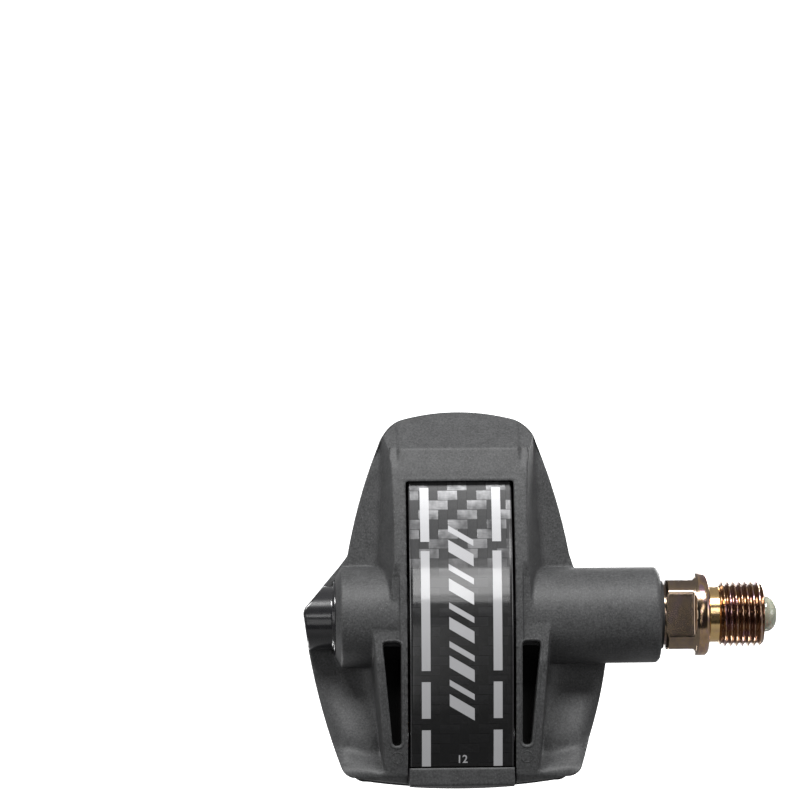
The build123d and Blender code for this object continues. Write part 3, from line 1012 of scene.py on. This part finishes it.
def make_screws():
    """Countersunk plate screws with hexagon sockets, flush with the plate."""
    low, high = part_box("wear_plate_screws")
    head_r = 2.3 * MM
    xs = (low.x + head_r, high.x - head_r)
    ys = (low.y + head_r, high.y - head_r)
    obj = point_cloud("plate_screws", [(x, y, PLATE_TOP) for x in xs for y in ys])
    geo = GeoTree("plate_screw", HeadRadius=head_r, ShankRadius=1.25 * MM, HeadDepth=0.9 * MM, Length=4.0 * MM,
                  Socket=1.0 * MM, Finish=screw_steel())
    take = geo.start.outputs
    head = geo.node("GeometryNodeMeshCone", inputs={
        "Vertices": 48, "Radius Top": take["HeadRadius"], "Radius Bottom": take["ShankRadius"],
        "Depth": take["HeadDepth"]})
    down = geo.node("ShaderNodeMath", {"operation": "MULTIPLY"}, {0: take["HeadDepth"], 1: -1.0})
    seat = geo.node("ShaderNodeCombineXYZ", inputs={2: down.outputs[0]})
    placed = geo.node("GeometryNodeTransform", inputs={"Geometry": head.outputs[0], "Translation": seat.outputs[0]})
    shank = geo.node("GeometryNodeMeshCylinder", inputs={
        "Vertices": 32, "Radius": take["ShankRadius"], "Depth": take["Length"]})
    drop = geo.node("ShaderNodeMath", {"operation": "MULTIPLY_ADD"}, {0: take["Length"], 1: -0.5, 2: -0.8 * MM})
    low_seat = geo.node("ShaderNodeCombineXYZ", inputs={2: drop.outputs[0]})
    stem = geo.node("GeometryNodeTransform", inputs={
        "Geometry": shank.outputs[0], "Translation": low_seat.outputs[0]})
    socket = geo.node("GeometryNodeMeshCylinder", inputs={
        "Vertices": 6, "Radius": take["Socket"], "Depth": 1.4 * MM})
    whole = geo.node("GeometryNodeMeshBoolean", {"operation": "UNION"})
    geo.tree.links.new(placed.outputs[0], whole.inputs["Mesh 2"])
    geo.tree.links.new(stem.outputs[0], whole.inputs["Mesh 2"])
    bored = geo.node("GeometryNodeMeshBoolean", {"operation": "DIFFERENCE"}, {"Mesh 1": whole.outputs[0]})
    geo.tree.links.new(socket.outputs[0], bored.inputs["Mesh 2"])
    spread = geo.node("GeometryNodeInstanceOnPoints", inputs={
        "Points": take["Geometry"], "Instance": bored.outputs[0]})
    geo.finish(spread.outputs[0], take["Finish"])
    screws = geo.run(obj)
    shade(screws, 30.0)
    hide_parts("wear_plate_screws")
    return screws


def slot_outline(side, grow):
    """Rounded outline of the tapered slot beside the window, as plan points in metres."""
    corners = [(13.1 - grow, -5.4 + grow), (17.1 + grow, -5.4 + grow), (15.0 + grow, -27.7 - grow),
               (13.1 - grow, -27.7 - grow)]
    out = []
    for i, here in enumerate(corners):
        a, b, c = Vector(corners[i - 1]), Vector(here), Vector(corners[(i + 1) % 4])
        reach = 1.0 + grow
        start, end = b + (a - b).normalized() * reach, b + (c - b).normalized() * reach
        out += [start * (1 - t) ** 2 + b * 2 * t * (1 - t) + end * t ** 2 for t in np.linspace(0, 1, 5)]
        steps = max(2, int(((c - b).length - 2 * reach) / 0.8))
        goal = c + (b - c).normalized() * reach
        out += [end.lerp(goal, k / steps) for k in range(1, steps)]
    return [(CENTRE_X + side * p.x * MM, p.y * MM) for p in out]


def make_slot_beads(shell):
    """The raised bead round each slot's mouth."""
    surface = Surface(shell.data)
    beads = []
    for side in (-1, 1):
        path = [Vector((x, y, surface.under(x, y))) for x, y in slot_outline(side, 0.45)]
        beads.append(closed_bead(path, 0.22 * MM))
    return joined("slot_beads", beads)


def closed_bead(path, r, sides=8):
    """A half-sunk round bead along a closed path."""
    n = len(path)
    verts, faces = [], []
    for i, p in enumerate(path):
        along = (path[(i + 1) % n] - path[i - 1]).normalized()
        side = along.cross(Vector((0, 0, 1))).normalized()
        up = side.cross(along)
        for k in range(sides):
            a = 2 * pi * k / sides
            verts.append(p + side * r * cos(a) + up * r * 0.7 * sin(a))
    for i in range(n):
        j = (i + 1) % n
        for k in range(sides):
            m = (k + 1) % sides
            faces.append((i * sides + k, j * sides + k, j * sides + m, i * sides + m))
    obj = mesh_object("bead", verts, faces, moulded_composite(), 80.0)
    outward(obj)
    return obj


# Operators

class PEDAL_OT_shell(bpy.types.Operator):
    """Mould the composite shell, with its beads and pin marks"""
    bl_idname = "pedal.shell"
    bl_label = "Shell"

    def execute(self, context):
        s = settings()
        shell = moulded("composite_shell", "pedal_body", moulded_composite(), s.voxel, s.rounding, 0.34,
                        shape_shell)
        for piece in (shell, make_slot_beads(shell), make_ejector_marks(shell)):
            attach(piece, "pedal_body")
        return {"FINISHED"}


class PEDAL_OT_jaw(bpy.types.Operator):
    """Mould the rear jaw"""
    bl_idname = "pedal.jaw"
    bl_label = "Rear Jaw"

    def execute(self, context):
        s = settings()
        jaw = moulded("jaw_moulding", "rear_jaw", moulded_composite(), s.voxel * 0.9, s.rounding, 0.5)
        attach(jaw, "rear_jaw")
        return {"FINISHED"}


class PEDAL_OT_leaf(bpy.types.Operator):
    """Lay up the carbon leaf and print it"""
    bl_idname = "pedal.leaf"
    bl_label = "Carbon Leaf"

    def execute(self, context):
        heights = leaf_heights()
        leaf = make_leaf(heights)
        for piece in (leaf, make_stripes(heights), make_badge(heights), make_number(heights)):
            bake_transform(piece, "pedal_body", "rear_jaw", start=LEAF_BEND_START, end=LEAF_BEND_END)
        return {"FINISHED"}


class PEDAL_OT_spindle(bpy.types.Operator):
    """Turn the spindle with its thread and flats, its clear end and its seal"""
    bl_idname = "pedal.spindle"
    bl_label = "Spindle"

    def execute(self, context):
        for piece in (make_spindle(), make_end_window(), make_window_core()):
            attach(piece, "spindle")
        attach(make_seal(), "pedal_body")
        return {"FINISHED"}


class PEDAL_OT_trim(bpy.types.Operator):
    """Fit the end cap, the wear plate and its screws"""
    bl_idname = "pedal.trim"
    bl_label = "Cap and Plate"

    def execute(self, context):
        cap = moulded("outer_end_cap", "end_cap", gloss_cap(), 0.16 * MM, 8, 0.5)
        plate = crisp("cleat_wear_plate", "wear_plate", brushed_stainless(), 0.15 * MM)
        screws = make_screws()
        for piece in (cap, plate, screws):
            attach(piece, "pedal_body")
        return {"FINISHED"}


INNER_FINISHES = {
    "window_o_ring": seal_rubber,
    "cap_o_ring": seal_rubber,
    "circuit_board": board_green,
    "battery_cell": battery_sleeve,
    "ball_inner_rings": bearing_steel,
    "ball_outer_rings": bearing_steel,
    "bearing_balls": bearing_steel,
    "needle_rollers": bearing_steel,
    "needle_shell": bearing_steel,
    "thrust_washer": bearing_steel,
    "nut_washer": plain_steel,
    "lock_nut": plain_steel,
    "jaw_pin": plain_steel,
    "ball_cages": cage_nylon,
    "needle_cage": cage_nylon,
    "jaw_bushes": cage_nylon,
    "blade_pad": cage_nylon,
}


class PEDAL_OT_inside(bpy.types.Operator):
    """Give the bearings, pins and electronics their finishes"""
    bl_idname = "pedal.inside"
    bl_label = "Inner Parts"

    def execute(self, context):
        for node, finish in INNER_FINISHES.items():
            obj = frame["nodes"][node]
            obj.data.materials.clear()
            obj.data.materials.append(finish())
        return {"FINISHED"}


class PEDAL_OT_stage(bpy.types.Operator):
    """Set the floor, the white card behind, the softboxes and the camera"""
    bl_idname = "pedal.stage"
    bl_label = "Stage"

    def execute(self, context):
        scene = context.scene
        scene.view_settings.view_transform = "Standard"
        scene.render.film_transparent = False
        make_world(scene)
        make_floor()
        make_lights()
        make_camera(scene)
        return {"FINISHED"}


def make_world(scene):
    world = bpy.data.worlds.new("studio")
    scene.world = world
    world.use_nodes = True
    background = world.node_tree.nodes["Background"]
    background.inputs["Color"].default_value = (0.80, 0.80, 0.81, 1.0)
    background.inputs["Strength"].default_value = 0.55


def stage_plane(name, size, centre, finish):
    half = size / 2
    x, y, z = centre
    verts = [(x - half, y - half, z), (x + half, y - half, z), (x + half, y + half, z), (x - half, y + half, z)]
    plane = mesh_object(name, verts, [(0, 1, 2, 3)], finish)
    return plane


@material
def white_card():
    """Lit card that closes the view from below."""
    sh = Shader("white_card", Base_Color=(1.0, 1.0, 1.0, 1.0), Emission_Strength=1.02)
    sh.bsdf.inputs["Emission Color"].default_value = (1.0, 1.0, 1.0, 1.0)
    return sh


@material
def black_cloth():
    """Flag behind the camera, which keeps stray light off the glossy parts."""
    sh = Shader("black_cloth")
    nap = sh.noise(sh.coords(), 300.0, 3.0)
    sh.feed(Base_Color=sh.mix(nap, (0.012, 0.012, 0.012), (0.03, 0.03, 0.03)), Roughness=0.85 + nap * 0.1)
    return sh


def make_floor():
    stage_plane("floor", 12.0, (CENTRE_X, 0, -1.35), studio_floor())
    stage_plane("dark_flag", 2.2, (CENTRE_X, 0, -1.25), black_cloth())
    stage_plane("back_card", 1.1, (CENTRE_X, 0, 1.6), white_card())


def softbox(name, place, size, power):
    """A rectangular lamp that faces the middle of the pedal."""
    data = bpy.data.lights.new(name, "AREA")
    data.shape = "RECTANGLE"
    data.size, data.size_y = size
    data.energy = power
    lamp = add_object(name, data)
    lamp.location = place
    lamp.rotation_mode = "QUATERNION"
    lamp.rotation_quaternion = (Vector((CENTRE_X, 0, 0)) - Vector(place)).to_track_quat("-Z", "Y")
    lamp.visible_camera = False
    return lamp


def make_lights():
    key = settings().key_power
    # The key is a pair of boxes, so that the cap between them stays black.
    for name, x in (("key_box_near", -0.12), ("key_box_far", 0.28)):
        softbox(name, (x, 0.72, -0.50), (0.28, 0.26), key * 0.65)
    softbox("side_box", (CENTRE_X - 0.8, 0.1, -0.35), (0.3, 0.6), key * 0.12)
    softbox("far_side_box", (CENTRE_X + 0.85, 0.05, -0.3), (0.3, 0.6), key * 0.16)
    softbox("top_box", (CENTRE_X - 0.45, 0.35, 0.95), (0.5, 0.5), key * 0.9)
    softbox("rear_box", (CENTRE_X + 0.5, -0.75, 0.5), (0.5, 0.4), key * 0.55)
    # Narrow strips beside the lens, each caught by one glossy part.
    softbox("leaf_strip", (0.012, 0.17, -1.12), (0.10, 0.20), key * 0.045)
    softbox("cap_strip", (0.075, -0.27, -1.05), (0.05, 0.36), key * 0.014)
    softbox("spindle_strip", (-0.15, 0.36, -0.98), (0.14, 0.20), key * 0.04)


def make_camera(scene):
    """A long lens straight below the pedal, a little outboard of it, looking up past it."""
    distance, outboard = 1.0, radians(2.4)
    frame_width = 0.17445
    data = bpy.data.cameras.new("camera")
    data.sensor_width = 36.0
    data.lens = data.sensor_width * distance / frame_width
    data.clip_start, data.clip_end = 0.05, 30.0
    camera = add_object("camera", data)
    pedal = Vector((CENTRE_X, 3.0 * MM, 0))
    place = pedal + Vector((sin(outboard), 0, -cos(outboard))) * distance
    aim = Vector((66.5 * MM, 47.33 * MM, 0))
    forward = (aim - place).normalized()
    roll = radians(0.55)
    up_hint = Vector((-sin(roll), cos(roll), 0))
    right = forward.cross(up_hint).normalized()
    up = right.cross(forward)
    turn = Matrix((right, up, -forward)).transposed()
    camera.rotation_mode = "QUATERNION"
    camera.rotation_quaternion = turn.to_quaternion()
    camera.location = place
    scene.camera = camera


class PEDAL_PT_panel(bpy.types.Panel):
    """Lists the pedal's settings and its steps"""
    bl_label = "Road Pedal"
    bl_idname = "PEDAL_PT_panel"
    bl_space_type = "VIEW_3D"
    bl_region_type = "UI"
    bl_category = "Pedal"

    def draw(self, context):
        for name in PedalSettings.__annotations__:
            self.layout.prop(context.scene.pedal, name)
        for operator in STEPS:
            self.layout.operator(operator.bl_idname)


STEPS = (PEDAL_OT_stage, PEDAL_OT_shell, PEDAL_OT_jaw, PEDAL_OT_leaf, PEDAL_OT_spindle, PEDAL_OT_trim,
         PEDAL_OT_inside)
CLASSES = (PedalSettings, *STEPS, PEDAL_PT_panel)


def register():
    for cls in CLASSES:
        bpy.utils.register_class(cls)
    bpy.types.Scene.pedal = PointerProperty(type=PedalSettings)


def unregister():
    del bpy.types.Scene.pedal
    for cls in reversed(CLASSES):
        bpy.utils.unregister_class(cls)


def main():
    register()
    bpy.ops.pedal.stage()
    bpy.ops.pedal.shell()
    bpy.ops.pedal.jaw()
    bpy.ops.pedal.leaf()
    bpy.ops.pedal.spindle()
    bpy.ops.pedal.trim()
    bpy.ops.pedal.inside()


if __name__ == "__main__":
    main()
